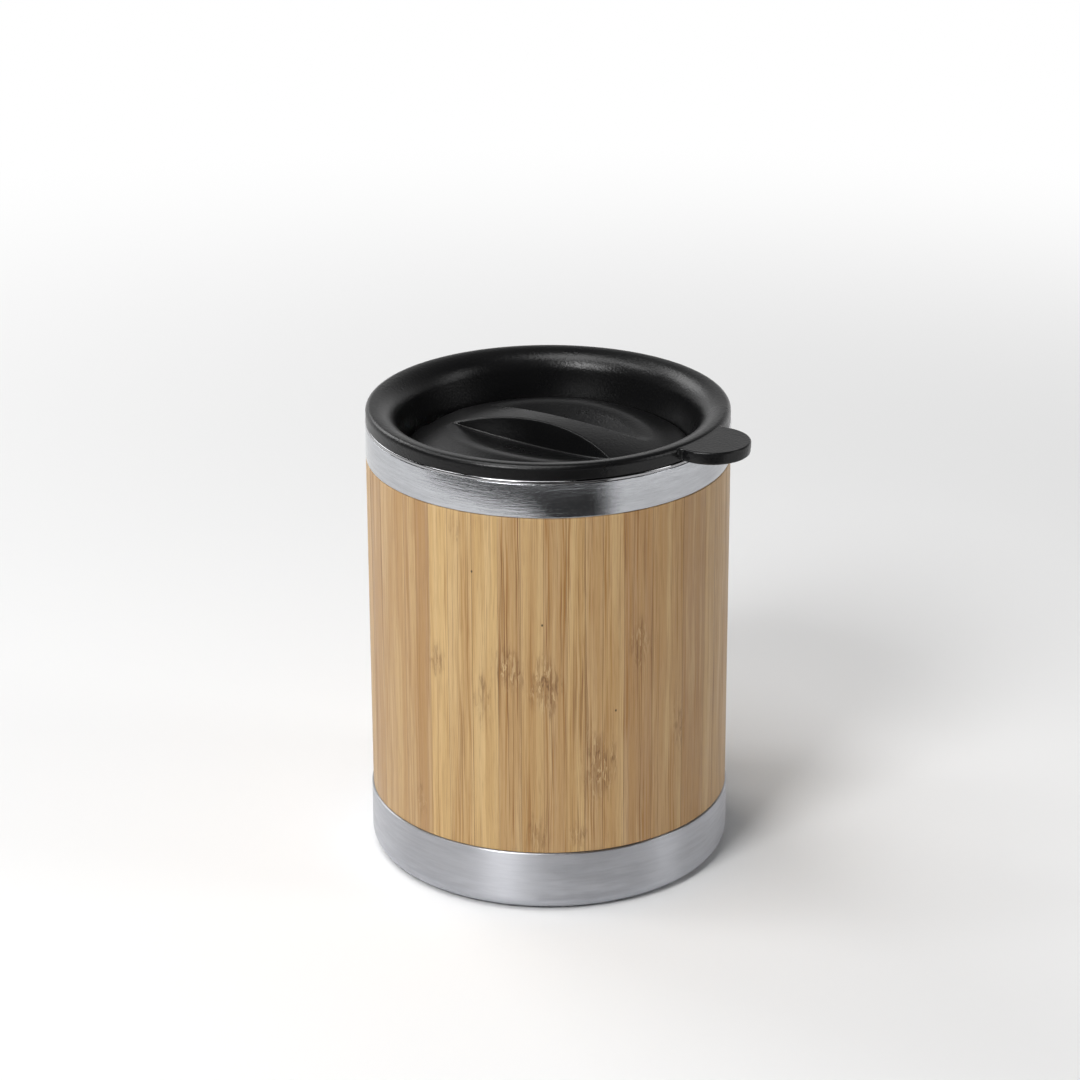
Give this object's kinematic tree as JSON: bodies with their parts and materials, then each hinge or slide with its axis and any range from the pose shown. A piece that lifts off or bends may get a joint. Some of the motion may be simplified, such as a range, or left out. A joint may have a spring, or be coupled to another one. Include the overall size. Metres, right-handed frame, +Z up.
{
  "type": "insulated tumbler",
  "caption": "Insulated steel drinking cup with a bamboo sleeve and a push-in lid whose domed dial turns to open a drink slot.",
  "frame": {"origin": "centre of the underside, where the axis of the cup meets the face that it stands on", "axes": "+Z up along the axis of the cup, +X towards the thumb tab, -X towards the drink slot, +Y across the rib of the dial"},
  "size_m": [0.0905, 0.0806, 0.1039],
  "materials": {
    "liner_steel": "fine satin inside, polished edge",
    "band_steel": "satin, brushed round the axis",
    "bamboo": "clear matte lacquer over laminated strips",
    "black_plastic": "fine satin moulded",
    "silicone": "translucent matte"
  },
  "bodies": {
    "cup": {"inner_liner": "liner_steel", "outer_shell": "band_steel", "bamboo_sleeve": "bamboo", "base_cap": "band_steel", "base_disc": "band_steel"},
    "lid": {"lid_rim": "black_plastic", "lid_gasket": "silicone"},
    "dial": {"twist_dial": "black_plastic", "dial_seal": "silicone", "dial_clip": "black_plastic"}
  },
  "joints": [
    {"name": "lid_lift", "type": "slide", "parent": "cup", "child": "lid", "axis": [0, 0, 1], "range_m": [0, 0.03]},
    {"name": "dial_turn", "type": "hinge", "parent": "lid", "child": "dial", "pos_m": [0, 0, 0.0912], "axis": [0, 0, 1], "range_deg": [0, 90]}
  ]
}
